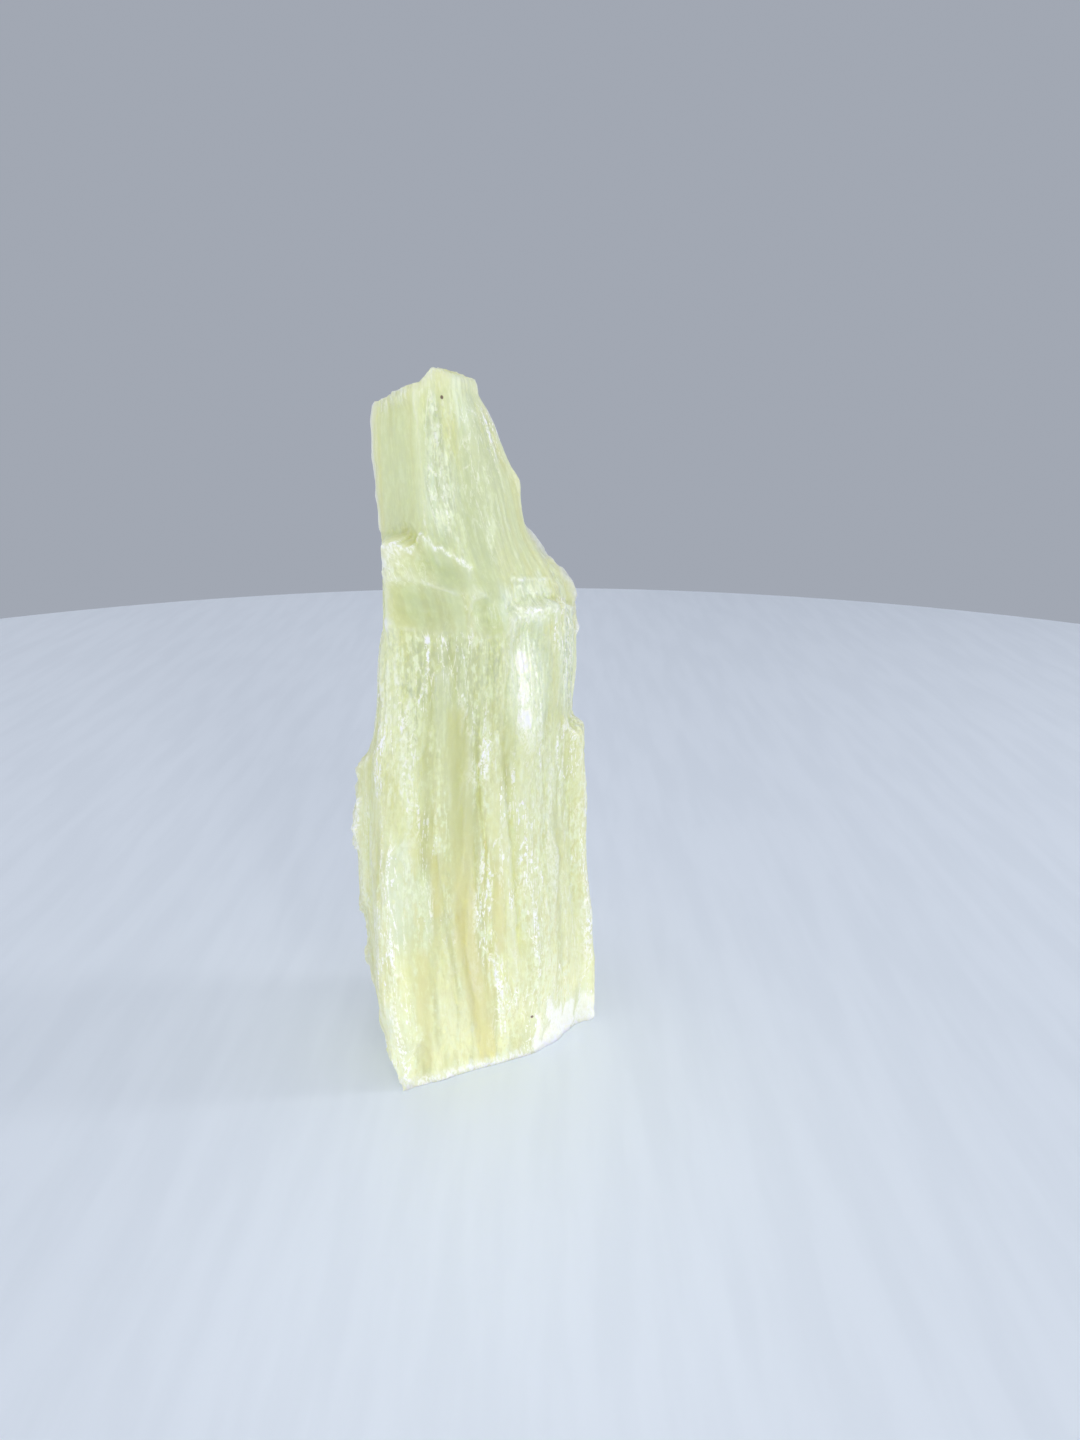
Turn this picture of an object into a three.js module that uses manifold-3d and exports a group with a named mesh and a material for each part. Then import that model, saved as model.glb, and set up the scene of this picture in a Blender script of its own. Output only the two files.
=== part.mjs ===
// A raw chunk of lemon calcite: one solid, broken from a vein of fibrous crystal and standing on its
// broken end. The fibres run up the chunk, so its sides are ribbed, bundles of them stand proud and end
// in steps, and the smooth faces are cleavage planes. Millimetres, +Z up, the broad ribbed face towards -Y.

import * as THREE from "three";
import { mergeVertices } from "three/addons/utils/BufferGeometryUtils.js";
import Module from "manifold-3d";

const wasm = await Module();
wasm.setup();

// ---- Driving dimensions ----

const RIB_STEP = 1.35; // spacing of the points round a section
const ROW_STEP = 4.4; // height of one row of faces
const RIB_DEPTH = 0.8; // how far the boldest ribs stand out
const RIB_POINTS = { least: 2, more: 4 }; // points across a rib
const TIER = { least: 9, more: 30 }; // height over which a rib keeps its depth before it steps
const RIB_SLANT = 0.7; // steepest slant across a rib, as a share of its depth
const BUNDLE_ROOT = 4.5; // how deep a bundle is let into the side that it lies on
const BUNDLE_PROFILE = [[-0.42, 0.6], [-0.12, 1], [0.3, 0.85]]; // shares of the width, and of the height
const BUNDLE_SPARE = 6; // length past each end, which the steps cut off
const BUNDLE_SEED = 20; // first seed of the bundles
const STEP_SLANT = 1.2; // steepest slope of the step at a bundle's end
const SCOOP_FACES = [22, 14]; // faces round a scoop's ball, and from pole to pole
const BLOCK = 160; // side of the blocks that the breaks are cut with
const WELD = 1e-4; // points closer than this are one
const HASH = {
  start: 2166136261,
  step: 16777619,
  offset: 1013,
  mixes: [2246822519, 3266489917],
  shifts: [15, 13, 16],
  range: 2 ** 32,
};

// A station is a horizontal section: its height, then its corners, anticlockwise seen from above:
// left, near, front left, front right, right, right back, back, left back.
const BODY = [
  [-4, [-18.8, -6], [-12.8, -20.2], [0.4, -12.3], [8.2, -8.6],
    [17.6, 2.6], [13.6, 11.5], [-2, 15.8], [-13.5, 8.5]],
  [2, [-19.6, -6], [-15.8, -20.6], [0.4, -12.5], [8.4, -8.8],
    [17.8, 2.6], [14.6, 12], [-2, 16.4], [-14.2, 9]],
  [12, [-21.3, -6], [-17, -20.8], [0.2, -14], [8.8, -9.9],
    [17.8, 2.6], [15.6, 12.4], [-2.4, 17.6], [-15.8, 9.6]],
  [26, [-22.2, -6], [-17.2, -20.8], [-0.8, -15.2], [8.6, -10.9],
    [15.9, 2], [15.4, 11.8], [-3, 18.4], [-17.2, 9.8]],
  [48, [-21, -7], [-16.6, -20.2], [-1.8, -15.9], [7.4, -12],
    [15, 0], [15.3, 10.4], [-3.6, 17.6], [-16.2, 9]],
  [62, [-18.6, -10], [-16.3, -19.6], [-2, -16.3], [5.6, -13.3],
    [14, -2.2], [15.4, 8.4], [-4, 16.2], [-14.6, 7.8]],
  [78, [-16, -11], [-14.7, -19.1], [-2.2, -16.3], [4.8, -13.7],
    [13.6, -3.2], [15.6, 7], [-4.4, 14.6], [-13.4, 6.4]],
  [98, [-15.2, -9], [-14, -18.4], [-2.6, -15.9], [4.6, -13.4],
    [13.2, -4], [14.4, 5.4], [-4.6, 12.8], [-12.6, 5]],
];
const SPIRE = [
  [66, [-14.6, -7], [-11, -14.8], [-2, -13.6], [3.2, -11.4],
    [11.8, -1.8], [14.6, 7.4], [-4, 13], [-12.2, 5.6]],
  [82, [-15.4, -8], [-9.8, -15.8], [-2.2, -14.4], [3.6, -12],
    [12, -2.2], [15.6, 6.2], [-4.2, 12.6], [-12.8, 5.6]],
  [86, [-15.6, -8.6], [-9, -16.2], [-2.5, -14.9], [4.2, -12.2],
    [11.9, -2.8], [13.4, 4.8], [-4.4, 12], [-12.9, 5.4]],
  [89, [-15.6, -9], [-8.4, -16.5], [-2.6, -15.3], [3.8, -11.8],
    [8.4, -3.2], [9.6, 4.4], [-4.6, 11.4], [-13, 5]],
  [96, [-16, -9], [-8, -16.7], [-2.8, -15.8], [3, -11.7],
    [6.8, -3.2], [5.8, 4], [-5.2, 10], [-13.2, 4]],
  [104, [-16.4, -9], [-8.3, -16.9], [-3.3, -16], [1.6, -12],
    [5.2, -3.2], [2.8, 3.4], [-6.4, 8], [-13.7, 2.4]],
  [111, [-16.4, -9], [-8.8, -16.9], [-4.2, -15.8], [-1.2, -12.4],
    [1, -4.6], [-1.4, 1.8], [-7.4, 5.4], [-14, 1]],
  [123, [-15.4, -9], [-9.6, -16.5], [-6.2, -15.5], [-2.6, -12.4],
    [-0.7, -6.8], [-3.8, -1.6], [-8.6, 1.8], [-13.4, -1]],
];
const SIDES = { left: 0, near: 1, front: 2, right: 3, rightBack: 4, back: 5, backLeft: 6, leftBack: 7 };

// How ribbed each side is, in the order of SIDES: the cleavage faces are nearly smooth.
const BODY_RIBS = [0.7, 1, 1, 0.6, 1, 1, 1, 1];
const SPIRE_RIBS = [0.1, 0.5, 0.7, 1, 1, 1, 1, 0.8];

// Bundles of fibres that stand `proud` of a side, `share` of the way along it, and end in steps.
const BUNDLES = [
  { name: "left fin", side: "left", share: 0.14, width: 10.4, proud: 1.35, from: 28.4, to: 53.0 },
  { name: "near column", side: "near", share: 0.22, width: 7.5, proud: 0.9, from: 6, to: 46 },
  { name: "short near slat", side: "near", share: 0.72, width: 4.2, proud: 0.6, from: 31, to: 74 },
  { name: "front slat", side: "front", share: 0.45, width: 5.5, proud: 0.6, from: 12, to: 63 },
  { name: "right slat", side: "right", share: 0.4, width: 6, proud: 0.7, from: -6, to: 41 },
  { name: "right flake", side: "rightBack", share: 0.28, width: 9, proud: 2.3, from: -6, to: 59.4 },
  { name: "right back slat", side: "rightBack", share: 0.95, width: 8, proud: 1.5, from: 14, to: 55 },
  { name: "back slat", side: "back", share: 0.5, width: 9, proud: 2.2, from: 8, to: 76 },
  { name: "short back slat", side: "back", share: 0.9, width: 6, proud: 1.6, from: -6, to: 38 },
  { name: "left back slat", side: "backLeft", share: 0.55, width: 7.5, proud: 1.9, from: 22, to: 66 },
  { name: "low left slat", side: "leftBack", share: 0.4, width: 6.5, proud: 1.5, from: -6, to: 30 },
];

// A break takes away what lies beyond all of its planes. Each plane goes through a point and faces away
// from the stone that stays.
const LEDGE_BREAKS = [
  [{ at: [-12, -18, 93.6], away: [0.15, 0.1, 1] }],
  [
    { at: [-10.2, -18, 92.2], away: [0.42, -0.25, 1] },
    { at: [-10.6, -18, 92.4], away: [1, 0, 0.6] },
  ],
  [
    { at: [-1.8, -16, 88.2], away: [1, 0, 0.85] },
    { at: [-1.8, -16, 88.2], away: [1, 0.1, -0.1] },
    { at: [4.8, -13, 82], away: [-1, 0, 0.15] },
  ],
  [
    { at: [6, -13.0, 79.8], away: [0.6, -0.65, 0.75] },
    { at: [4.6, -13, 84], away: [1, 0, 0] },
  ],
  [
    { at: [9, -9, 83.4], away: [-0.1, 0.35, 1] },
    { at: [4.6, -13, 84], away: [1, 0, 0] },
  ],
];
const TOP_BREAKS = [
  [
    { at: [-8.2, -15, 116.1], away: [-0.28, 0.1, 1] },
    { at: [-8.2, -15, 116.1], away: [-1.2, 0.1, 1] },
  ],
  [{ at: [-6.7, -15.6, 118.2], away: [0.26, 0.02, 1] }],
  [
    { at: [-8, 0, 109], away: [-0.1, 0.8, 1] },
    { at: [-8, -3, 109], away: [0.1, 1, -0.2] },
  ],
];
const FOOT_BREAKS = [
  [{ at: [0, 0, 0], away: [0, 0, -1] }],
  [{ at: [2, 15.5, 4], away: [0.1, 0.8, -0.7] }],
];

// Scoops are smooth shell-like fractures, taken out with an ellipsoid that is turned about the Y axis.
const SCOOPS = [
  { name: "under the ledge", at: [-3.6, -21.4, 88.2], radii: [9.6, 6.8, 4.2], turn: 24 },
  { name: "below it", at: [-5.0, -22.4, 83.0], radii: [13.5, 7.4, 5.4], turn: 14 },
  { name: "shoulder notch", at: [2.6, -16.8, 81.8], radii: [4.4, 4.8, 4], turn: 0 },
  { name: "back hollow", at: [-9, 19.5, 79], radii: [9, 7, 11], turn: 0 },
];

// ---- Solids ----

/** The closed mesh of a geometry as a solid that can be joined and cut. */
function solidOf(geometry) {
  geometry.deleteAttribute("normal");
  geometry.deleteAttribute("uv");
  const merged = mergeVertices(geometry, WELD);
  const vertProperties = merged.attributes.position.array;
  const triVerts = new Uint32Array(merged.index.array);
  return new wasm.Manifold(new wasm.Mesh({ numProp: 3, vertProperties, triVerts }));
}

/** A solid's triangles as a geometry, in millimetres. */
function geometryOf(solid) {
  const mesh = solid.getMesh();
  const geometry = new THREE.BufferGeometry();
  geometry.setAttribute("position", new THREE.BufferAttribute(mesh.vertProperties, mesh.numProp));
  geometry.setIndex(new THREE.BufferAttribute(mesh.triVerts, 1));
  return geometry;
}

/** A repeatable number from 0 to 1 for a few whole numbers. */
function chance(...keys) {
  let hash = HASH.start;
  for (const key of keys) hash = Math.imul(hash ^ (key + HASH.offset), HASH.step);
  hash = Math.imul(hash ^ (hash >>> HASH.shifts[0]), HASH.mixes[0]);
  hash = Math.imul(hash ^ (hash >>> HASH.shifts[1]), HASH.mixes[1]);
  return ((hash ^ (hash >>> HASH.shifts[2])) >>> 0) / HASH.range;
}

/** The corners at height z, each on a smooth curve through its stations. */
function cornersAt(stations, z) {
  const last = stations.length - 1;
  const i = Math.max(0, Math.min(last - 1, stations.findLastIndex(([height]) => height <= z)));
  const [a, b] = [stations[i], stations[i + 1]];
  const [before, after] = [stations[Math.max(0, i - 1)], stations[Math.min(last, i + 2)]];
  const span = b[0] - a[0];
  const t = (z - a[0]) / span;
  return a.slice(1).map((from, corner) =>
    from.map((value, axis) => {
      const to = b[corner + 1][axis];
      const slopeIn = ((to - before[corner + 1][axis]) / (b[0] - before[0])) * span;
      const slopeOut = ((after[corner + 1][axis] - value) / (after[0] - a[0])) * span;
      const bend = (value - to) * (2 * t - 1);
      return value + (to - value) * t + t * (1 - t) * ((1 - t) * slopeIn - t * slopeOut + bend);
    }),
  );
}

/** A function of how far the side stands from its outline at point k, at height z. */
function ribsOf(count, seed) {
  const ribs = [];
  for (let k = 0; k < count; ) {
    const width = RIB_POINTS.least + Math.floor(RIB_POINTS.more * chance(seed, k, 1));
    for (let j = 0; j < width && k < count; j++, k++) ribs.push([ribs.length - j, (j + 0.5) / width]);
  }
  return (k, z) => {
    const [rib, across] = ribs[k];
    let tier = 0;
    let top = -TIER.more * chance(seed, rib, 2);
    while (top < z) top += TIER.least + TIER.more * chance(seed, rib, ++tier);
    const height = chance(seed, rib, tier, 3);
    const slant = RIB_SLANT * (2 * chance(seed, rib, tier, 4) - 1);
    return RIB_DEPTH * (height - 1 + slant * (across - 0.5));
  };
}

/** A ribbed body between two heights, whose corners at each height come from `section`. */
function loft(section, from, to, seed, ribbed = []) {
  const middle = section((from + to) / 2);
  const points = middle.map((corner, i) => {
    const next = middle[(i + 1) % middle.length];
    return Math.max(1, Math.round(Math.hypot(next[0] - corner[0], next[1] - corner[1]) / RIB_STEP));
  });
  const count = points.reduce((sum, n) => sum + n);
  const rib = ribsOf(count, seed);
  const rows = Math.max(2, Math.round((to - from) / ROW_STEP));
  const positions = [];
  for (let row = 0; row <= rows; row++) {
    const z = from + ((to - from) * row) / rows;
    const corners = section(z);
    let k = 0;
    corners.forEach(([x, y], i) => {
      const [nextX, nextY] = corners[(i + 1) % corners.length];
      const length = Math.hypot(nextX - x, nextY - y);
      const out = [(nextY - y) / length, (x - nextX) / length];
      for (let j = 0; j < points[i]; j++, k++) {
        const share = j / points[i];
        const stand = rib(k, z) * (ribbed[i] ?? 1);
        positions.push(x + (nextX - x) * share + out[0] * stand, y + (nextY - y) * share + out[1] * stand, z);
      }
    });
  }
  const index = [];
  for (let row = 0; row < rows; row++) {
    for (let k = 0; k < count; k++) {
      const [a, b] = [row * count + k, row * count + ((k + 1) % count)];
      index.push(a, b, b + count, a, b + count, a + count);
    }
  }
  for (const [row, flip] of [[0, true], [rows, false]]) {
    const centre = positions.length / 3;
    const ring = positions.slice(row * count * 3, (row + 1) * count * 3);
    for (let axis = 0; axis < 3; axis++) {
      positions.push(ring.reduce((sum, value, i) => (i % 3 === axis ? sum + value : sum), 0) / count);
    }
    for (let k = 0; k < count; k++) {
      const [a, b] = [row * count + k, row * count + ((k + 1) % count)];
      index.push(centre, flip ? b : a, flip ? a : b);
    }
  }
  const geometry = new THREE.BufferGeometry();
  geometry.setAttribute("position", new THREE.Float32BufferAttribute(positions, 3));
  geometry.setIndex(index);
  return solidOf(geometry);
}

/** Everything beyond a plane, as a block. */
function beyond({ at, away }) {
  const block = new THREE.BoxGeometry(BLOCK, BLOCK, BLOCK).translate(0, 0, BLOCK / 2);
  const turn = new THREE.Quaternion().setFromUnitVectors(
    new THREE.Vector3(0, 0, 1),
    new THREE.Vector3(...away).normalize(),
  );
  return solidOf(block.applyQuaternion(turn).translate(...at));
}

/** A solid with its breaks taken off. */
function broken(solid, breaks) {
  return breaks.reduce(
    (left, planes) => left.subtract(planes.map(beyond).reduce((all, block) => all.intersect(block))),
    solid,
  );
}

/** A bundle of fibres lying on one side of the body, with a slanting step at each end. */
function bundle({ side, share, width, proud, from, to }, seed) {
  const section = (z) => {
    const corners = cornersAt(BODY, z);
    const start = corners[SIDES[side]];
    const end = corners[(SIDES[side] + 1) % corners.length];
    const length = Math.hypot(end[0] - start[0], end[1] - start[1]);
    const along = [(end[0] - start[0]) / length, (end[1] - start[1]) / length];
    const place = (t, out) => [
      start[0] + along[0] * (share * length + t) + along[1] * out,
      start[1] + along[1] * (share * length + t) - along[0] * out,
    ];
    return [
      place(-width / 2, -BUNDLE_ROOT),
      ...BUNDLE_PROFILE.map(([across, out]) => place(across * width, out * proud)),
      place(width / 2, -BUNDLE_ROOT),
    ];
  };
  const [x, y] = section((from + to) / 2)[2];
  const slant = (n) => STEP_SLANT * (2 * chance(seed, n) - 1);
  return broken(loft(section, from - BUNDLE_SPARE, to + BUNDLE_SPARE, seed), [
    [{ at: [x, y, from], away: [slant(1), slant(2), -1] }],
    [{ at: [x, y, to], away: [slant(3), slant(4), 1] }],
  ]);
}

/** The ellipsoid that leaves a scoop. */
function scoop({ at, radii, turn }) {
  const ball = new THREE.SphereGeometry(1, ...SCOOP_FACES).scale(...radii);
  return solidOf(ball.rotateY(THREE.MathUtils.degToRad(turn)).translate(...at));
}

/** The whole chunk, standing on its foot. */
function chunkSolid() {
  const heightOf = (stations, end) => stations.at(end)[0];
  const body = loft((z) => cornersAt(BODY, z), heightOf(BODY, 0), heightOf(BODY, -1), 1, BODY_RIBS);
  const spire = loft((z) => cornersAt(SPIRE, z), heightOf(SPIRE, 0), heightOf(SPIRE, -1), 2, SPIRE_RIBS);
  let stone = broken(body, LEDGE_BREAKS).add(broken(spire, TOP_BREAKS));
  SCOOPS.forEach((each) => (stone = stone.subtract(scoop(each))));
  BUNDLES.forEach((each, i) => (stone = stone.add(bundle(each, BUNDLE_SEED + i))));
  return broken(stone, FOOT_BREAKS);
}

// ---- The part ----

const calcite = new THREE.MeshStandardMaterial({
  name: "lemon calcite",
  color: 0xdfe3b4,
  roughness: 0.32,
  metalness: 0,
});
const geometry = geometryOf(chunkSolid());
geometry.computeBoundingBox();
const { min, max } = geometry.boundingBox;
geometry.translate(-(min.x + max.x) / 2, -(min.y + max.y) / 2, -min.z);

const chunk = new THREE.Mesh(geometry, calcite);
chunk.name = "lemon_calcite_chunk";

const part = new THREE.Group();
part.add(chunk);

export default part;
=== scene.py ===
# A raw chunk of lemon calcite, standing on its broken foot.
#
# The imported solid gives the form. Its skin is sampled on a grid whose columns follow the fibres of the
# stone, the flat triangles of the solid are rounded away, and broken fibres, steps, cleavage faces and
# ragged edges are worked into it as real relief. What is milky, clear, frosted or lined is kept on the
# vertices, and the material paints it. +Z is up and the broad ribbed face looks towards -Y.
#
# Everything before the materials is in millimetres. The materials and the stage are in metres.

import math

import bpy
import numpy as np
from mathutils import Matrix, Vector
from mathutils.bvhtree import BVHTree


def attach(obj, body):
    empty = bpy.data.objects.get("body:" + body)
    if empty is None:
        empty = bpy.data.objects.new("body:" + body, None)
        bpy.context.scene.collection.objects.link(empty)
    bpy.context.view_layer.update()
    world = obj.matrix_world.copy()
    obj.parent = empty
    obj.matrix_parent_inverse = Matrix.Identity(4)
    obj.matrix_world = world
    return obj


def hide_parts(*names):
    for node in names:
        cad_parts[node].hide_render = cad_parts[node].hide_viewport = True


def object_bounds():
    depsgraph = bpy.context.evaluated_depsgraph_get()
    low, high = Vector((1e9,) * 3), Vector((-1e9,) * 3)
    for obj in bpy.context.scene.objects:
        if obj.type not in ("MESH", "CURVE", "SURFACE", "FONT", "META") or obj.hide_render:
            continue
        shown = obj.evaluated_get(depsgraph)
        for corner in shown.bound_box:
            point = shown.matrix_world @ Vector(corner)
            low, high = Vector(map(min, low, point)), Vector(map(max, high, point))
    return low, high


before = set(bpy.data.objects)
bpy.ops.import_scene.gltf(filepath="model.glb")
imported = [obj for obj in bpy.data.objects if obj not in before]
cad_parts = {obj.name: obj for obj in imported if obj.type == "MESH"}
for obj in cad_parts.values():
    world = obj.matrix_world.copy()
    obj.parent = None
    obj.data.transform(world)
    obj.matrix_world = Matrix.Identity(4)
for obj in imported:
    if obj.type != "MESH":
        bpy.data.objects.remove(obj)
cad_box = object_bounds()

NODE = "lemon_calcite_chunk"
MM = 0.001  # a millimetre in metres

# ---- The grid of the skin ----

COLUMNS = 460  # mesh columns round the chunk, each following a fibre
FIRST_ROW = 0.04  # height of the lowest row before it is set down on the floor
ROW_STEPS = [(72, 0.72), (78, 0.4), (97, 0.4), (101, 0.72)]  # height, row spacing there
CROWN_ROWS = 26  # rows that fan over the top
CROWN_FROM = 0.90  # share of the height where the fan over the top starts
FOOT_RINGS = (0.97, 0.85, 0.55)  # flat foot rings, as shares of the outline
OUTSIDE = 80  # how far outside the chunk a sampling ray starts
SECTION_RAYS = 48  # rays that find the middle of a section
SECTION_TRIES = 3  # how often that middle is found, each time from the last one
MIDDLE_BLUR = 8  # rows over which the line of middles is smoothed
GIRTH_RAYS = 721  # rays that measure the girth, one every half degree
GIRTH_AT = (0.25, 0.5, 0.75)  # shares of the wall's rows where it is measured
LONGEST_STEP = 4  # a jump counts as at most so many usual steps of that measure

# ---- The marks on the chunk ----

# Smooth cleavage faces: the way each faces, its middle, its reach and how calm it is. Some are also clear
# (deep), white, or leant back (tilt).
CLEAVAGE = [
    dict(name="left face of the spire", faces=(-0.70, -0.72, -0.03), at=(-9.6, -12.7, 104),
         reach=(10, 10, 13), calm=0.93, deep=0.25),
    dict(name="near band of the spire", faces=(0.18, -0.98, 0), at=(-3.6, -15.4, 103), reach=(3.6, 3, 12),
         calm=0.6, deep=0.6, white=0.05),
    # The shoulder face's white is partly a painted highlight, under the glossy strip.
    dict(name="shoulder face", faces=(0.78, -0.63, 0), at=(9, -9.8, 69), reach=(4.8, 4.8, 11),
         calm=0.6, tilt=0.11, white=0.3),
    dict(name="left fin", faces=(-0.5, -0.85, 0), at=(-18, -10, 42), reach=(3, 5, 13), calm=0.8),
    # The foot facet's white is frost and painted glow, as bright as the window makes it.
    dict(name="foot facet", faces=(0.6, -0.8, 0), at=(14, -4, 3.5), reach=(6, 6, 5.5), calm=0.5, white=0.75),
]
# Quieter places away from those faces: name, middle, reach and how calm.
QUIET = [
    ("ledge under the spire's left face", (-10.5, -14, 92.8), (5, 6.5, 2.8), 1.0),
    ("crown", (0, -8, 118), (15, 15, 7.5), 0.8),
    ("spire right of the near band", (2.5, -12, 101), (6, 6, 16), 0.7),
    ("corner by the near band", (-7.0, -16, 109), (1.6, 2.2, 11), 0.95),
    ("right flank of the spire", (8.5, -4, 98), (6, 8, 17), 0.8),
    ("left rim of the spire", (-14.4, -7.5, 104), (3, 5, 14), 0.85),
    ("slope to the shoulder", (4.5, -11, 90), (7.5, 8, 8.5), 0.82),
    ("top of the shoulder", (11.5, -3, 88), (4.5, 5, 4), 0.8),
    ("shoulder block", (9.5, -8, 82.5), (7, 7, 4.5), 0.6),
    ("upper middle", (-3, -17, 71), (5, 5, 8), 0.4),
    ("left of the near corner", (-18, -12, 66), (3.5, 8, 30), 0.6),
]
# Corners that are worn round: the line each follows and its reach.
CORNERS = [
    dict(name="near left corner", reach=3.4,
         line=[(-14.6, -20.2, 2), (-15.0, -20.2, 12), (-15.2, -20.2, 26), (-14.6, -19.6, 48),
               (-14.3, -19.0, 62), (-12.7, -18.5, 78)]),
    dict(name="right of the spire", reach=9,
         line=[(0.5, -12, 110), (4.5, -9.5, 100), (6.6, -8.4, 94), (8.6, -7.4, 90)]),
]
# Smooth hollows: middle, radii, turn about Y in degrees, and how clear, which darkens them as painted shade.
HOLLOWS = [
    dict(name="under the ledge", at=(-1.63, -20.83, 88.2), radii=(9.6, 6.8, 4.2), turn=24, deep=0),
    dict(name="below it", at=(-3.03, -21.83, 83.0), radii=(13.5, 7.4, 5.4), turn=14, deep=0.12),
    dict(name="shoulder notch", at=(4.57, -16.23, 81.8), radii=(4.4, 4.8, 4), turn=0, deep=0.1),
]
# Ragged edges: the line each follows, its reach, how far it stands out of the stone and how white it is.
EDGES = [
    dict(name="crest between the hollows", reach=0.5, proud=0.25, white=0.5,
         line=[(-10.4, -16.5, 87.6), (-8.4, -15.2, 86.7), (-5, -14.2, 85.6), (-2.5, -14.1, 84.6),
               (0.5, -14.2, 82.8)]),
    # The shoulder lip's white is frost and painted light, on a bevel that faces up into the light.
    dict(name="shoulder lip", reach=0.6, proud=0.15, white=0.3,
         line=[(6.4, -10.4, 82.6), (9.5, -8.9, 81.8), (14.2, -4.6, 80.4)]),
    # The white along the foot facet's edge is frost and painted glow.
    dict(name="foot facet's edge", reach=0.6, proud=0.15, white=0.6,
         line=[(10, -8.6, 8.5), (11.4, -7.6, 4), (14.6, -4.4, 7.6), (19.4, 0.6, 9)]),
    dict(name="left edge of the spire", reach=1.6, proud=0.25, white=0,
         line=[(-14.3, -8.6, 95), (-14.4, -8.4, 113)]),
    dict(name="right back edge of the shoulder", reach=2.4, proud=0.6, white=0,
         line=[(14.0, 4.8, 86.5), (16.4, 5.3, 83.5), (17.2, 6.6, 79.2), (17.2, 7, 76)]),
    dict(name="top of the shoulder block", reach=0.6, proud=0.2, white=0.35,
         line=[(6.5, -9.6, 86.6), (9.4, -6.3, 86.1), (12.3, -2.9, 85.4)]),
    dict(name="top of the left fin", reach=2.3, proud=0.8, white=0.1,
         line=[(-19.7, -8.6, 42), (-19.2, -8.6, 51.5), (-18.4, -9.2, 56.2)]),
    dict(name="step above the left fin", reach=2.2, proud=-0.5, white=0,
         line=[(-17.1, -8.6, 59.6), (-16.6, -9.2, 61.5)]),
    dict(name="left edge, low", reach=2.5, proud=0.5, white=0, line=[(-19.9, -6, 26), (-19.4, -6.1, 19)]),
]
# The broken edge of the layer that lies over the spire's foot: x and z along it, from the left rim to the
# right.
SHEET_EDGE = [(-12.2, 93.4), (-9.4, 93.3), (-8.3, 92.5), (-7.4, 93.6), (-6.6, 94.8), (-5.4, 94.9),
              (-4.7, 92.9), (-3.6, 93.0), (-2.6, 91.8), (-1.2, 91.0), (0.1, 89.8)]
# Frosty patches, some of them painted highlights and painted glow: name, middle, reach and how white.
FROST_AND_PAINTED_LIGHT = [
    ("block under the rim", (-10.6, -17, 90.2), (2.4, 3, 3.4), 0.42),
    ("left half of the upper hollow", (-7.4, -15.8, 88.6), (2.4, 3, 2.4), 0.3),
    # painted highlight: the bright foot of the near band
    ("foot of the near band", (-3.4, -15.6, 96.6), (1.6, 2, 2.2), 0.7),
    ("patch right of the near band", (3.6, -11.6, 94.2), (0.7, 2, 2.3), 0.5),
    # The shoulder bevel's white is frost and painted light: the bevel faces up into the light.
    ("shoulder bevel", (9.6, -9, 81), (4.8, 3.4, 1.9), 0.7),
    ("shoulder block", (10, -7.6, 84), (5, 6, 2.6), 0.45),
    # The glossy strip is a painted highlight: the window's reflection on the shoulder face, painted white.
    ("glossy strip, top", (8.5, -10.7, 73.4), (2.2, 2.5, 3.8), 0.9),
    ("glossy strip, middle", (8.5, -10.7, 68.8), (1.8, 2.1, 4.2), 0.85),
    ("glossy strip, end", (8.6, -10.6, 64.4), (2.2, 2.6, 2.8), 0.95),
    ("round the glossy strip", (9.0, -10, 69.5), (3.6, 4.4, 11), 0.6),
    ("right half, low", (10.4, -9, 40), (9, 8, 26), 0.38),
    ("right edge, low", (16.5, 1, 34), (4, 5, 28), 0.4),
    ("notch", (3.4, -12, 81.5), (2.5, 3, 2.5), 0.4),
    ("right half, lower", (11, -8, 15), (6.5, 7, 12), 0.45),
    ("left fin", (-18.5, -11, 42), (3, 5, 12), 0.55),
    # The foot facet and the foot's right corner: frost, and painted glow where the window lights them.
    ("foot facet", (13.5, -4.5, 1.5), (7, 7, 9), 0.92),
    ("right corner of the foot", (19.5, 1.8, 2), (3.5, 3.5, 6), 0.85),
    ("upper left patch", (-10.0, -18.1, 61), (3, 3, 14), 0.68),
    ("left patch", (-11.4, -19.6, 38.5), (2.8, 3, 10), 0.22),
    ("inner left patch", (-8.1, -17.8, 34), (1.3, 3, 8), 0.5),
    ("foot patch", (-13, -19.8, 10), (3.6, 4, 11), 0.68),
    ("left side, low", (-19, 0, 12), (4, 7, 9), 0.5),
    ("left side, high", (-15.5, -2, 76), (3, 5, 12), 0.5),
    ("back, high", (1, 11, 92), (7, 6, 8), 0.5),
    ("back, low", (-5, 18, 22), (5, 4, 16), 0.5),
    ("right side, high", (16, 1, 72), (2.6, 4.2, 10), 0.5),
]
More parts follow.
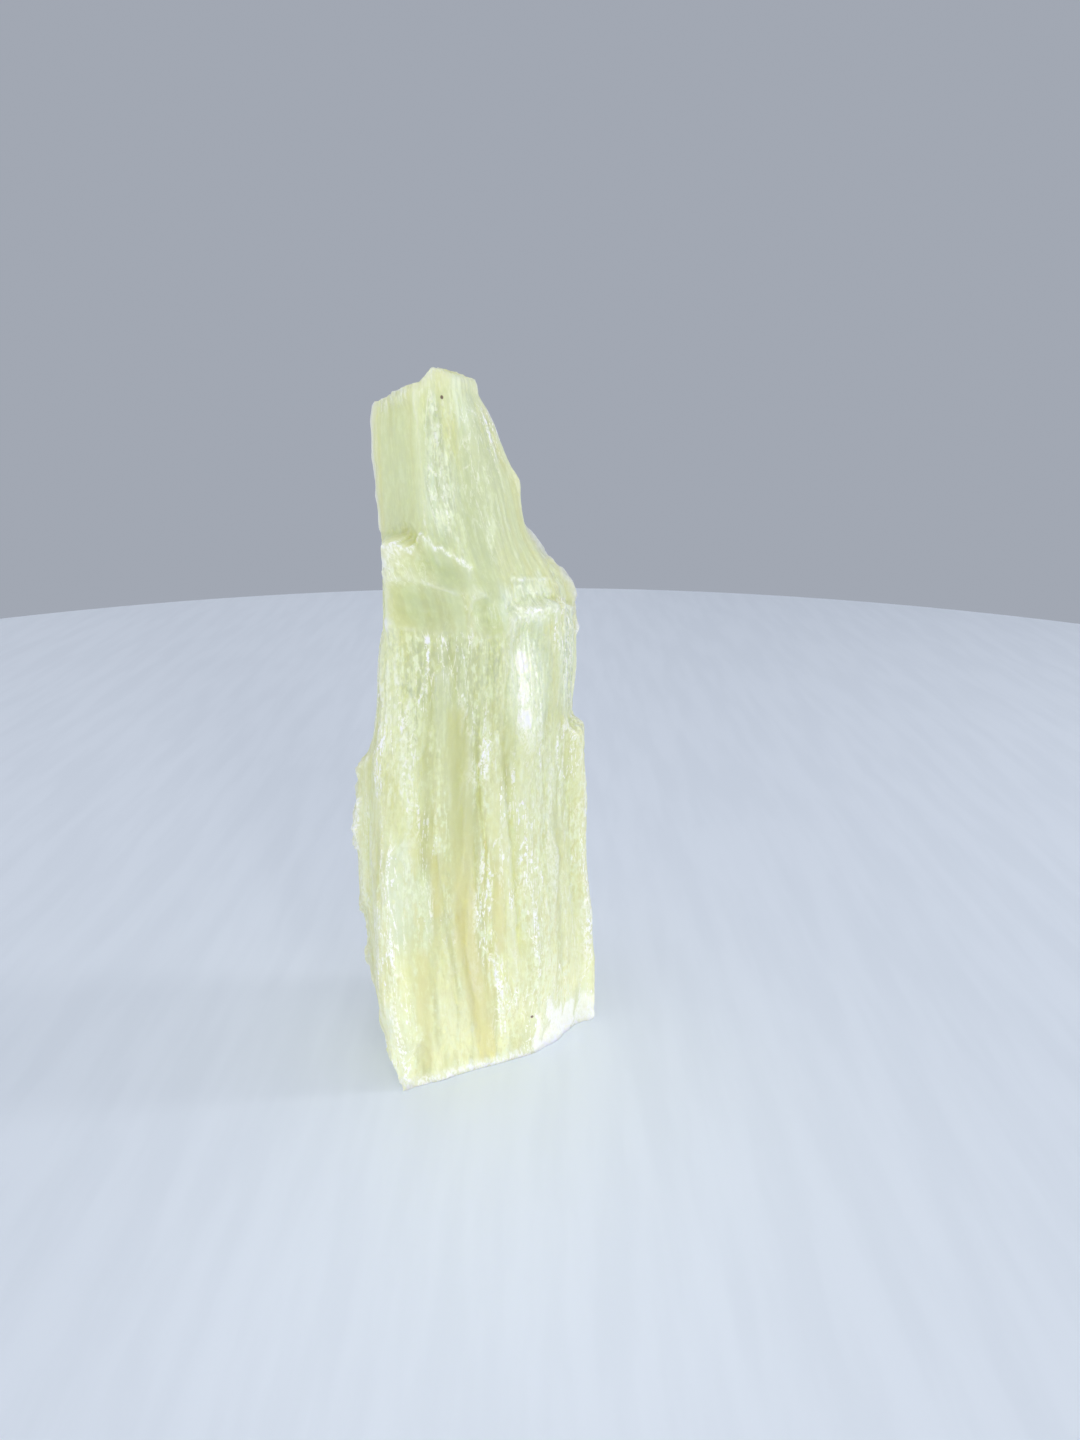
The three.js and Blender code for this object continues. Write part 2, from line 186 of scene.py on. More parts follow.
# Milky places, as pale as the stone round them but less coloured, some of them painted sheen: name, middle,
# reach and how milky.
MILK_AND_SHEEN = [
    # The near band's milk is painted sheen: the grey-white gloss of that band.
    ("near band", (-3.7, -15.6, 101), (2.9, 2.4, 8), 0.65),
    ("top of the near band", (-4.3, -15.7, 109), (1.4, 2.4, 7), 0.65),
    ("left patch", (-11.4, -19.6, 37.5), (3.4, 3, 12), 0.75),
    ("inner left patch", (-8.1, -17.8, 34), (1.6, 3, 9), 0.7),
    ("hollows", (-4, -15, 85.5), (9, 5, 7), 0.15),
    ("top right of the spire", (0.5, -13, 114), (4, 5, 5), 0.6),
    # painted sheen: the shoulder and the right faces, towards the window, are painted paler and whiter
    ("shoulder block", (10, -8, 82), (6.5, 7, 5), 0.8),
    ("shoulder face", (10, -9, 70), (6, 6, 11), 0.8),
    ("right strip", (16, 0, 72), (3, 6, 13), 0.9),
    ("right flank", (13, -6, 46), (6, 7, 17), 0.25),
]
# Places with thin dark lines along the fibres: name, middle, reach and how many.
LINED = [
    ("near band", (-3.6, -15.6, 101), (3.0, 2.4, 8), 1.0),
    ("top of the near band", (-4.3, -15.7, 108), (1.6, 2.4, 8), 1.0),
    ("spire right of the near band", (3.5, -11, 102), (6, 7, 14), 0.4),
    ("shoulder block", (9.8, -7, 84), (5, 6, 3), 0.6),
    ("below the lower hollow", (-4, -16.5, 74), (8, 5, 6), 0.5),
]
# Clear bands, where the colour gathers, and on the spire's left rim painted shade: name, reach, how deep its
# colour is and the line it follows.
AMBER = [
    ("near band", 2.6, 0.9, [(-1.8, -15.9, 66), (-1.6, -15.6, 54), (-1.5, -15.2, 40), (-1.4, -15, 28),
                             (0.4, -13.8, 15), (2.2, -12.6, 3)]),
    ("short band", 1.6, 0.8, [(4.0, -13.9, 40), (4.4, -13.7, 24)]),
    ("left upper band", 1.2, 0.7, [(-6.1, -16.8, 42), (-6.0, -16.8, 33)]),
    ("left low band", 1.4, 0.65, [(-8.4, -17.8, 26), (-8.4, -17.4, 4)]),
    ("back band", 2.6, 0.6, [(-9, 15.5, 64), (-8, 17.5, 20)]),
    ("right back band", 2.4, 0.5, [(15.6, 8, 52), (16, 9, 10)]),
    # painted shade: the spire's left side face, turned from the light, is darkened with a clear band's olive
    ("left rim of the spire", 2.2, 0.9, [(-14.4, -8.1, 112), (-14.4, -8.1, 92)]),
    ("right rim of the shoulder", 2.4, 0.7, [(13.4, 4.6, 87), (16.4, 5.3, 83.5), (17.2, 6.6, 79.2)]),
    ("left band", 2.2, 0.5, [(-19.8, 0, 60), (-20.6, 0, 26)]),
]
# Clear spots: name, middle, reach and how clear.
CLEAR = [
    ("right half of the upper hollow", (-1.8, -14.4, 87.4), (2.8, 3, 2.4), 0.5),
    ("slope to the shoulder", (4, -12, 87), (4, 4, 6), 0.5),
    ("spire right of the near band", (2.6, -12, 102), (6, 6, 14), 1.0),
    ("upper middle", (-2, -16, 69), (5, 4, 12), 0.5),
    ("middle", (-1.5, -15.5, 50), (3.6, 4, 20), 0.35),
]
# Thin dark lines: the line each follows, how wide and how deep it is.
CRACKS = [
    dict(name="curved crack in the upper hollow", reach=0.3, deep=0.25,
         line=[(-5.9, -14.8, 89.8), (-5.0, -14.3, 88.8), (-4.6, -14.1, 87.5), (-4.8, -14.2, 86.4)]),
    dict(name="right edge of the shoulder", reach=0.5, deep=0.45,
         line=[(14.8, -3.9, 84), (14.8, -3.6, 79), (15.4, -2.6, 72), (14.9, -2.9, 65), (14.5, -2.8, 60)]),
]
# Dark specks: x, y, z and radius.
SPECKS = [(-3.0, -14.8, 113.9, 0.32), (9.6, -9.1, 8.1, 0.30), (-18.9, -9.6, 48.8, 0.22)]

# ---- How soft and how uneven things are ----

# Soft rims, as shares of the reach or the radii: inside the first number all of it, past the second none.
HOLLOW_RIM = (1.02, 1.14)
FACE_RIM = (0.85, 1.1)
QUIET_RIM = (0.6, 1.15)
WORN_RIM = (0.35, 1)
EDGE_RIM = (0.55, 1.0)
PATCH_RIM = (0.55, 1.15)
BAND_RIM = (0.35, 1.1)
FACING = (0.93, 0.975)  # how nearly the skin has to look the way a cleavage face does, as a cosine

# Layers of unevenness: amount, width, length along the fibres and a seed of their own.
JAGS = [(1.5, 2.1, 16, 31), (1.1, 0.8, 7, 32)]  # splinters that make the solid's level edges ragged
JAGS_START, JAGS_END = (5, 10), (98, 103)  # heights where they set in and where they have faded out
DRIFT = [(0.5, 9, 40, 3), (0.12, 3, 12, 4)]  # waves that push the fibres sideways
ENDS = (3, 0.8, 60, 16)  # waves that stagger the ends of the splinters
SLABS = [(1, (0.5, 6.5, 34, 11)), (0.7, (0.36, 2.7, 18, 12))]  # share of that stagger, and splinters
SLIVERS = [(0.4, (0.2, 1.2, 9, 13)), (0, (0.12, 0.7, 3, 14))]  # the same for the fine ones
SLIVER_SHARE = 0.4  # how much of the fine ones there is even in the quietest places
BUSY, BUSY_RANGE = (1, 7, 24, 15), (-0.6, 0.7)  # waves that say where there are more of them
FLUTES = (0.06, 0.62, 12, 5)  # fine waves along the fibres
CALM_FLUTES = (0.03, 1.0, 30, 6)  # the same on the smooth faces
SUNK = 0.12  # the relief as a whole is set in by this much
CHIPS, CHIPS_SQUARE = (0.9, 1.7, 1.5, 51), 2.5  # chips at the foot's rim, and how square they are
CHIPS_HEIGHT = (0.6, 4)  # they fade out over these heights
FLOOR_BAND, FLOOR_RELIEF = (0, 1.0), 0.12  # the relief fades to this share down to the floor
STREAKS = [(0.22, 1.3, 14, 42), (0.12, 0.5, 5, 43)]  # waves that streak the rims of patches
BLOCKS = (0.5, 1.4, 7, 45)  # splinters that break the rims of frost
CRUMBS, CRUMBS_HEIGHT, CRUMBS_WHITE = (1.6, 1.6, 3, 44), (1.0, 3.0), 0.65  # frost along the foot's rim, partly painted glow where the foot meets the floor
EDGE_NOISE, EDGE_RAGGED = (1, 1.1, 4, 41), 0.4  # waves that make the ragged edges, and how ragged
EDGE_TEETH = (0.6, 0.7, 1.4, 7)  # waves that make an edge stand out more and less along it
CLEAR_STREAKS = 0.8  # how streaky the clear spots are
RIDGE = 0.25  # how far a full ridge stands out, for the material

# The layer over the spire's foot.
SHEET = 0.5  # its thickness
SHEET_JAG = (0.5, 0.9, 2, 8)  # waves along its broken edge
SHEET_STEP = (-0.1, 0.25)  # how far below that edge it reaches its thickness
SHEET_END = (0.6, 5)  # how far below that edge it thins out
SHEET_FACING = (0.5, 0.7)  # it lies where the skin looks to the front
SHEET_LEFT, SHEET_RIGHT = (-12.6, -12), (0.2, 1.2)  # x where it starts and where it ends
TORN_STEP, TORN_END, TORN_WHITE = (-0.1, 0.2), (0.5, 1.1), 0.7  # the white strip along its edge

# Blurs, in rows and columns.
SMALL_BLUR, NORMAL_BLUR = (0.7, 0.7), (1.5, 2.0)  # before and after the sampled skin's normals are taken
CALM_BLUR = (0.5, 0.8)  # the rims of the smooth faces
CRISP, SOFT = (0.45, 0.45), (2.2, 3.6)  # the skin where the solid has an edge, and elsewhere
BENT_BLUR, BENT = (0.5, 1.0), (0.12, 0.42)  # the two differ by this much where it has one
WORN_EDGE, WORN = (1, 2), (1.5, 6)  # the rim of a worn corner, and the corner itself
BASE_BLUR = (1.2, 2.0)  # after the smoothed skin's normals are taken
HEIGHT_BLUR = (2, 5)  # the skin that gives each point's height for the relief
RIDGE_BLUR = (3, 4)  # the relief that a ridge stands out from
TILT_BLUR = (1, 2)  # the rims of the faces that lean back

# ---- Helpers on grids of rows x columns ----

TINY = 1e-9  # keeps a vector without a length from dividing by zero
BLUR_PASSES = 2


def smooth_step(value, low, high):
    """0 below low, 1 above high, smooth between."""
    t = np.clip((value - low) / (high - low), 0, 1)
    return t * t * (3 - 2 * t)


def blurred(grid, rows, columns):
    """A grid blurred by about so many rows and columns. Columns wrap round the chunk, rows don't."""
    for _ in range(BLUR_PASSES):
        for axis, reach in ((0, rows), (1, columns)):
            if reach <= 0:
                continue
            half = max(1, int(math.ceil(2 * reach)))
            weights = np.exp(-0.5 * (np.arange(-half, half + 1) / reach) ** 2)
            weights /= weights.sum()
            pads = [(0, 0)] * grid.ndim
            pads[axis] = (half, half)
            padded = np.pad(grid, pads, mode="edge" if axis == 0 else "wrap")
            size = grid.shape[axis]
            grid = sum(w * np.take(padded, range(k, k + size), axis) for k, w in enumerate(weights))
    return grid


def unit(vectors):
    return vectors / (np.linalg.norm(vectors, axis=-1, keepdims=True) + TINY)


def grid_normals(grid):
    """Outward normals of the grid."""
    across = np.roll(grid, -1, 1) - np.roll(grid, 1, 1)
    return unit(np.cross(across, np.gradient(grid, axis=0)))


def in_spot(points, at, reach):
    """How far each point is from a spot's middle, where 1 is the spot's edge."""
    return np.linalg.norm((points - np.array(at)) / np.array(reach), axis=-1)


def from_line(points, line):
    """Distance of each point from a line of straight stretches."""
    nearest = np.full(points.shape[:-1], np.inf)
    for start, end in zip(line[:-1], line[1:]):
        start, end = np.array(start, float), np.array(end, float)
        way = end - start
        share = np.clip((points - start) @ way / (way @ way), 0, 1)
        nearest = np.minimum(nearest, np.linalg.norm(points - start - share[..., None] * way, axis=-1))
    return nearest


# ---- Unevenness, on the unrolled skin ----
# A place on it is (across, up, girth): how far round the girth, how far up, and the girth itself.

FEWEST_CELLS = 3  # round the girth
SPARE_BELOW, SPARE_ROWS = 1, 4  # rows of cells below the foot, and spare rows in all
STRAY = (0.7, 0.9)  # how far a splinter's middle strays from its cell's, across and up
SLANT = 0.5  # how far splinters lean over
LEAN = (0.9, 1.2)  # how much their faces tilt, across and up
WAVE_HEIGHT = 0.6  # the spread of the waves' random heights


def lattice(place, width, length):
    """The cell counts that wrap round the girth, and each point's place among the cells."""
    across, up, girth = place
    count = max(FEWEST_CELLS, round(girth / width))
    tall = int(math.ceil(up.max() / length)) + SPARE_ROWS
    return count, tall, across / girth * count, up / length + SPARE_BELOW


def splinters(place, amount, width, length, seed, square=4.0):
    """Broken fibres: long cells, each with a level and a tilt of its own, up to about half the amount."""
    count, tall, x, y = lattice(place, width, length)
    draws = np.random.default_rng(seed).random((count, tall, 6))
    column, row = np.floor(x).astype(int), np.floor(y).astype(int)
    nearest = np.full(x.shape, np.inf)
    relief = np.zeros(x.shape)
    for dx in (-1, 0, 1):
        for dy in (-1, 0, 1):
            cell = draws[(column + dx) % count, np.clip(row + dy, 0, tall - 1)]
            off_x = x - (column + dx + 0.5 + STRAY[0] * (cell[..., 0] - 0.5))
            off_y = y - (row + dy + 0.5 + STRAY[1] * (cell[..., 1] - 0.5))
            off_x = off_x + SLANT * (cell[..., 5] - 0.5) * off_y
            distance = (np.abs(off_x) ** square + np.abs(off_y) ** square) ** (1 / square)
            tilt = LEAN[0] * (cell[..., 3] - 0.5) * off_x + LEAN[1] * (cell[..., 4] - 0.5) * off_y
            relief = np.where(distance < nearest, cell[..., 2] + tilt, relief)
            nearest = np.minimum(nearest, distance)
    return amount * (relief - 0.5)


def waves(place, amount, width, length, seed):
    """Smooth random unevenness, up to about the amount up or down, wrapping round the chunk."""
    count, tall, x, y = lattice(place, width, length)
    draws = np.random.default_rng(seed).standard_normal((count, tall)) * WAVE_HEIGHT
    column, row = np.floor(x).astype(int), np.floor(y).astype(int)
    u, v = smooth_step(x - column, 0, 1), smooth_step(y - row, 0, 1)

    def at(i, j):
        return draws[(column + i) % count, np.clip(row + j, 0, tall - 1)]

    low = at(0, 0) * (1 - u) + at(1, 0) * u
    high = at(0, 1) * (1 - u) + at(1, 1) * u
    return amount * (low * (1 - v) + high * v)


# ---- The skin of the solid, as a grid ----


def solid_tree():
    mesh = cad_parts[NODE].data
    points = [v.co / MM for v in mesh.vertices]
    return BVHTree.FromPolygons(points, [tuple(p.vertices) for p in mesh.polygons])


def first_hit(tree, centre, direction):
    """Where a ray from outside, aimed back at centre, first meets the solid."""
    start = centre + direction * OUTSIDE
    return tree.ray_cast(start, -direction)[0]


def level_way(angle):
    return Vector((math.cos(angle), math.sin(angle), 0))


def row_heights(wall_top):
    """Heights of the wall's rows, closer together where the ledge is."""
    levels, steps = zip(*ROW_STEPS)
    heights = [FIRST_ROW]
    while heights[-1] < wall_top:
        heights.append(heights[-1] + float(np.interp(heights[-1], levels, steps)))
    return np.array(heights[:-1])


def centre_line(tree, heights):
    """The middle of the section at each height, found from the solid and smoothed."""
    line = []
    centre = Vector((0, 0, 0))
    angles = np.linspace(0, 2 * math.pi, SECTION_RAYS, endpoint=False)
    for z in heights:
        centre = Vector((centre.x, centre.y, z))
        for _ in range(SECTION_TRIES):
            hits = [first_hit(tree, centre, level_way(a)) for a in angles]
            hits = np.array([h for h in hits if h is not None])
            low, high = hits.min(0), hits.max(0)
            centre = Vector((*((low + high) / 2)[:2], z))
        line.append(centre.to_tuple())
    middles = blurred(np.array(line)[:, None, :2], MIDDLE_BLUR, 0)[:, 0, :]
    return np.column_stack([middles, heights])


def column_angles(tree, centres):
    """Directions of the columns, evenly spaced on the surface, and the girth that they share out."""
    fine = np.linspace(-math.pi, math.pi, GIRTH_RAYS)
    lengths = np.zeros(len(fine) - 1)
    for centre in centres:
        hits = np.array([first_hit(tree, Vector(centre), level_way(a)) for a in fine])
        steps = np.linalg.norm(np.diff(hits, axis=0), axis=1)
        lengths += np.minimum(steps, LONGEST_STEP * np.median(steps)) / len(centres)
    along = np.concatenate([[0], np.cumsum(lengths)])
    return np.interp(np.arange(COLUMNS) / COLUMNS * along[-1], along, fine), along[-1]


def jagged(heights, girth):
    """How far up or down each column reads the solid, which makes level edges ragged."""
    across, up = np.meshgrid(np.arange(COLUMNS) / COLUMNS * girth, heights)
    jag = sum(splinters((across, up, girth), *layer) for layer in JAGS)
    return jag * smooth_step(up, *JAGS_START) * (1 - smooth_step(up, *JAGS_END))


def sampled_skin(tree):
    """Two grids of surface points, one plain and one with ragged edges, the tip, the girth, and the middle
    of each row."""
    wall_top = CROWN_FROM * cad_box[1].z / MM
    heights = row_heights(wall_top)
    line = centre_line(tree, heights)
    angles, girth = column_angles(tree, [line[int(len(line) * share)] for share in GIRTH_AT])
    flat = np.stack([np.cos(angles), np.sin(angles), np.zeros(COLUMNS)], 1)
    plain, ragged = [], []
    for centre, jags in zip(line, jagged(heights, girth)):
        plain.append([first_hit(tree, Vector(centre), Vector(d)) for d in flat])
        lifted = [Vector((0, 0, lift)) for lift in jags]
        ragged.append([first_hit(tree, Vector(centre) + up, Vector(d)) - up for d, up in zip(flat, lifted)])
    origin = Vector(line[-1])
    crown = []
    for k in range(1, CROWN_ROWS + 1):
        lift = math.pi / 2 * k / (CROWN_ROWS + 1)
        aims = flat * math.cos(lift) + np.array([0, 0, math.sin(lift)])
        crown.append([first_hit(tree, origin, Vector(d)) for d in aims])
    tip = np.array(first_hit(tree, origin, Vector((0, 0, 1))))
    middles = np.concatenate([line, np.repeat(line[-1:], CROWN_ROWS, 0)])
    return np.array(plain + crown, float), np.array(ragged + crown, float), tip, girth, middles


def closed_mesh(name, grid, tip):
    """A closed mesh: the rings of the flat foot, the grid, and fans to the foot's middle and the tip."""
    columns = grid.shape[1]
    middle = grid[0].mean(0)
    foot = [middle + share * (grid[0] - middle) for share in FOOT_RINGS[::-1]]
    rings = np.concatenate([foot, grid])
    points = np.concatenate([rings.reshape(-1, 3), [tip], [middle]])
    k = np.arange(columns)
    n = (k + 1) % columns
    faces = []
    for row in range(len(rings) - 1):
        a, b = row * columns, (row + 1) * columns
        faces.append(np.stack([a + k, a + n, b + n, b + k], 1))
    quads = np.concatenate(faces)
    last = (len(rings) - 1) * columns
    tip_at, foot_at = len(points) - 2, len(points) - 1
    fans = np.concatenate([
        np.stack([last + k, last + n, np.full(columns, tip_at)], 1),
        np.stack([n, k, np.full(columns, foot_at)], 1),
    ])
    mesh = bpy.data.meshes.new(name)
    mesh.from_pydata((points * MM).tolist(), [], quads.tolist() + fans.tolist())
    mesh.update()
    mesh.shade_smooth()
    piece = bpy.data.objects.new(name, mesh)
    bpy.context.scene.collection.objects.link(piece)
    return piece


def keep_on_vertices(piece, name, values):
    """Stores a grid of numbers or vectors on the mesh's vertices, for the material."""
    first, last = values[:1], values[-1:]
    rings = np.concatenate([np.repeat(first, len(FOOT_RINGS), 0), values])
    flat = rings.reshape((-1,) + values.shape[2:])
    flat = np.concatenate([flat, last.mean((0, 1))[None], first.mean((0, 1))[None]])
    kind, field = ("FLOAT_VECTOR", "vector") if values.ndim == 3 else ("FLOAT", "value")
    attribute = piece.data.attributes.new(name, kind, "POINT")
    attribute.data.foreach_set(field, flat.astype(np.float32).ravel())


# ---- The relief ----


def patches(points, spots, noise, rim=PATCH_RIM):
    """The strongest of some soft-edged spots, which the noise makes ragged."""
    total = np.zeros(points.shape[:-1])
    for _, at, reach, amount in spots:
        inside = 1 - smooth_step(in_spot(points, at, reach) + noise, *rim)
        total = np.maximum(total, amount * inside)
    return total


def bands(points, lines, noise):
    """The strongest of some soft-edged bands, which the noise makes ragged."""
    total = np.zeros(points.shape[:-1])
    for _, reach, amount, line in lines:
        inside = 1 - smooth_step(from_line(points, line) / reach + noise, *BAND_RIM)
        total = np.maximum(total, amount * inside)
    return total


def hollow_depth(points, hollow):
    """1 on the surface of a hollow, fading just outside it."""
    turn = math.radians(hollow["turn"])
    off = points - np.array(hollow["at"])
    x = off[..., 0] * math.cos(turn) - off[..., 2] * math.sin(turn)
    z = off[..., 0] * math.sin(turn) + off[..., 2] * math.cos(turn)
    away = np.linalg.norm(np.stack([x, off[..., 1], z], -1) / np.array(hollow["radii"]), axis=-1)
    return 1 - smooth_step(away, *HOLLOW_RIM)


def on_face(points, normals, face):
    """1 on a cleavage face, fading past its edges."""
    facing = smooth_step(normals @ unit(np.array(face["faces"])), *FACING)
    return facing * (1 - smooth_step(in_spot(points, face["at"], face["reach"]), *FACE_RIM))


def on_faces(points, normals, amount):
    """The strongest of an amount over the cleavage faces."""
    return np.max([face.get(amount, 0) * on_face(points, normals, face) for face in CLEAVAGE], 0)


def tilts(points, normals):
    """Relief that leans some cleavage faces back."""
    lean = np.zeros(points.shape[:-1])
    for face in CLEAVAGE:
        on = on_face(points, normals, face) * face.get("tilt", 0)
        lean = lean - blurred(on, *TILT_BLUR) * (points[..., 2] - face["at"][2])
    return lean


def calmness(points, normals):
    """1 where the stone is smooth: on cleavage faces, in the hollows and in the quiet places."""
    calm = on_faces(points, normals, "calm")
    for hollow in HOLLOWS:
        calm = np.maximum(calm, hollow_depth(points, hollow))
    return np.maximum(calm, patches(points, QUIET, 0, QUIET_RIM))


def blurred_skin(skin, rows, columns):
    """A blurred skin whose rows stay at their own heights."""
    level = skin.mean(1, keepdims=True) * np.array([0, 0, 1])
    return blurred(skin - level, rows, columns) + level


def steadied(skin, ragged, calm):
    """The skin with ragged edges away from the smooth faces, and its small flat triangles rounded off."""
    skin = ragged * (1 - calm[..., None]) + skin * calm[..., None]
    crisp, soft = blurred_skin(skin, *CRISP), blurred_skin(skin, *SOFT)
    bent = np.linalg.norm(blurred(crisp - soft, *BENT_BLUR), axis=-1)
    keep = smooth_step(bent, *BENT)[..., None]
    return soft * (1 - keep) + crisp * keep


def worn_round(skin):
    """The skin with its worn corners rounded."""
    for corner in CORNERS:
        worn = 1 - smooth_step(from_line(skin, corner["line"]) / corner["reach"], *WORN_RIM)
        worn = blurred(worn, *WORN_EDGE)[..., None]
        skin = skin * (1 - worn) + blurred_skin(skin, *WORN) * worn
    return skin


def fibre_relief(place):
    """Relief of the broken fibres: wide slabs down to fine slivers, and fine flutes along them."""
    across, up, girth = place
    drift = across + sum(waves(place, *layer) for layer in DRIFT)
    ends = waves(place, *ENDS)
    slabs, slivers = (
        sum(splinters((drift, up + share * ends, girth), *layer) for share, layer in kind)
        for kind in (SLABS, SLIVERS)
    )
    busy = SLIVER_SHARE + smooth_step(waves(place, *BUSY), *BUSY_RANGE)
    return slabs + slivers * busy + waves((drift, up, girth), *FLUTES)


def sheet_relief(points, normals, jag):
    """The layer over the spire's foot: its relief, and how close its broken upper edge is."""
    x, z = zip(*SHEET_EDGE)
    below = np.interp(points[..., 0], x, z) + jag - points[..., 2]
    front = smooth_step(-normals[..., 1], *SHEET_FACING) * smooth_step(points[..., 0], *SHEET_LEFT)
    front = front * (1 - smooth_step(points[..., 0], *SHEET_RIGHT))
    layer = smooth_step(below, *SHEET_STEP) * (1 - smooth_step(below, *SHEET_END))
    edge = smooth_step(below, *TORN_STEP) * (1 - smooth_step(below, *TORN_END))
    return SHEET * front * layer, front * edge


def relief_and_frost(base, normals, calm, place, streaks):
    """How far the skin is raised, and how white it is."""
    height = base[..., 2]
    relief = fibre_relief(place) * (1 - calm) - SUNK
    relief = relief + calm * waves(place, *CALM_FLUTES) + tilts(base, normals)
    relief = relief + splinters(place, *CHIPS, CHIPS_SQUARE) * (1 - smooth_step(height, *CHIPS_HEIGHT))
    blocky = streaks + splinters(place, *BLOCKS)
    frost = np.maximum(patches(base, FROST_AND_PAINTED_LIGHT, blocky), on_faces(base, normals, "white"))
    # The foot's rim is white: frost on the chipped rim, and painted glow where it meets the floor.
    crumbs = 1 - smooth_step(height + waves(place, *CRUMBS), *CRUMBS_HEIGHT)
    frost = np.maximum(frost, CRUMBS_WHITE * crumbs)
    layer, torn = sheet_relief(base, normals, waves(place, *SHEET_JAG))
    relief, frost = relief + layer, np.maximum(frost, TORN_WHITE * torn)
    noise, teeth = waves(place, *EDGE_NOISE), 1 + waves(place, *EDGE_TEETH)
    for edge in EDGES:
        away = from_line(base, edge["line"]) / edge["reach"] + EDGE_RAGGED * noise
        close = 1 - smooth_step(away, *EDGE_RIM)
        relief = relief + edge["proud"] * close * teeth
        frost = np.maximum(frost, edge["white"] * close)
    for crack in CRACKS:
        inside = 1 - smooth_step(from_line(base, crack["line"]), 0, crack["reach"])
        relief = relief - crack["deep"] * inside
    return relief, frost


def clearness(base, normals, streaks):
    """How clear the stone is in the clear spots and on some cleavage faces, and the painted shade of the
    hollows in the same clear tint.
    """
    clear = patches(base, CLEAR, CLEAR_STREAKS * streaks)
    clear = np.maximum(clear, on_faces(base, normals, "deep"))
    # Painted shade: the hollows are darkened with the clear tint.
    for hollow in HOLLOWS:
        clear = np.maximum(clear, hollow["deep"] * hollow_depth(base, hollow))
    return clear


def build_chunk():
    skin, ragged, tip, girth, middles = sampled_skin(solid_tree())
    normals = unit(blurred(grid_normals(blurred(skin, *SMALL_BLUR)), *NORMAL_BLUR))
    calm = blurred(calmness(skin, normals), *CALM_BLUR)
    base = worn_round(steadied(skin, ragged, calm))
    normals = unit(blurred(grid_normals(base), *BASE_BLUR))
    across = np.broadcast_to(np.arange(COLUMNS) / COLUMNS * girth, calm.shape)
    place = (across, blurred_skin(base, *HEIGHT_BLUR)[..., 2], girth)
    streaks = sum(waves(place, *layer) for layer in STREAKS)
    relief, frost = relief_and_frost(base, normals, calm, place, streaks)
    share = FLOOR_RELIEF + (1 - FLOOR_RELIEF) * smooth_step(base[..., 2], *FLOOR_BAND)
    grid = base + normals * (relief * share)[..., None]
    grid[0, :, 2] = 0
    low, high = (np.array(corner) / MM for corner in cad_box)
    grid = np.clip(grid, low, high)
    piece = closed_mesh("calcite", grid, np.minimum(tip, high))
    keep_on_vertices(piece, "fibre", (base - middles[:, None, :] * np.array([1, 1, 0])) * MM)
    keep_on_vertices(piece, "calm", calm)
    # frost: white frost, and in some patches painted highlights and painted glow
    keep_on_vertices(piece, "frost", frost)
    # milk: milky stone, and painted sheen on faces that catch the light
    keep_on_vertices(piece, "milk", patches(base, MILK_AND_SHEEN, streaks))
    keep_on_vertices(piece, "lined", patches(base, LINED, streaks))
    keep_on_vertices(piece, "amber", bands(base, AMBER, streaks))
    keep_on_vertices(piece, "clear", clearness(base, normals, streaks))
    keep_on_vertices(piece, "ridge", np.clip((relief - blurred(relief, *RIDGE_BLUR)) / RIDGE, -1, 1))
    return piece


# ---- Materials ----

# Colours, as Blender's linear red, green and blue.
PALE = (0.68, 0.725, 0.44, 1)  # upper part
LEMON = (0.735, 0.745, 0.42, 1)  # lower part
DEEP = (0.64, 0.655, 0.345, 1)  # in the darker bands
SHADED = (0.55, 0.59, 0.38, 1)  # dark lines and texture, upper part
GOLDEN = (0.68, 0.67, 0.34, 1)  # dark lines and texture, lower part
# the clear places' tint, also painted shade in the hollows
CLEAR_TINT = (0.61, 0.66, 0.40, 1)
OLIVE_TINT = (0.65, 0.665, 0.345, 1)  # clear bands, upper part
AMBER_TINT = (0.725, 0.695, 0.355, 1)  # clear bands, lower part
# painted glow: the foot is painted paler, as if lit from the floor
FOOT_GLOW = (0.93, 0.94, 0.62, 1)
# milky stone, and painted sheen on glossy faces
MILKY_AND_SHEEN = (0.67, 0.745, 0.575, 1)
FROSTED = (0.84, 0.89, 0.66, 1)  # haze, frost and pale texture
WHITEST_FROST_AND_HIGHLIGHT = (1.0, 1.0, 0.86, 1)  # the whitest frost, and the painted highlights and glow where it is whitest
PAINTED_GLINT = (1.0, 1.0, 0.92, 1)  # painted glints: highlights painted into the colour
SPECK = (0.10, 0.03, 0.02, 1)

# Values that build_chunk kept on the vertices.
KEPT = ("calm", "frost", "milk", "lined", "amber", "clear", "ridge")

# Random patterns: how much they are drawn out along the fibres, scale, detail and roughness.
PATTERNS = {
    "cloud": (1, 110, 3, 0.5),
    "wide": (0.08, 330, 2, 0.5),  # wide bands along the fibres
    "veins": (0.05, 1500, 3, 0.6),
    "busy": (0.3, 170, 2, 0.5),  # where there are more glints and fewer dark lines
    "grains": (0.6, 2200, 2, 0.7),
    "scales": (0.55, 1200, 2, 0.7),
    "threads": (0.1, 1700, 2, 0.7),
    "rich": (0.14, 240, 2, 0.5),  # where the fine texture is strong
    "fine": (0.06, 2600, 3, 0.6),
}

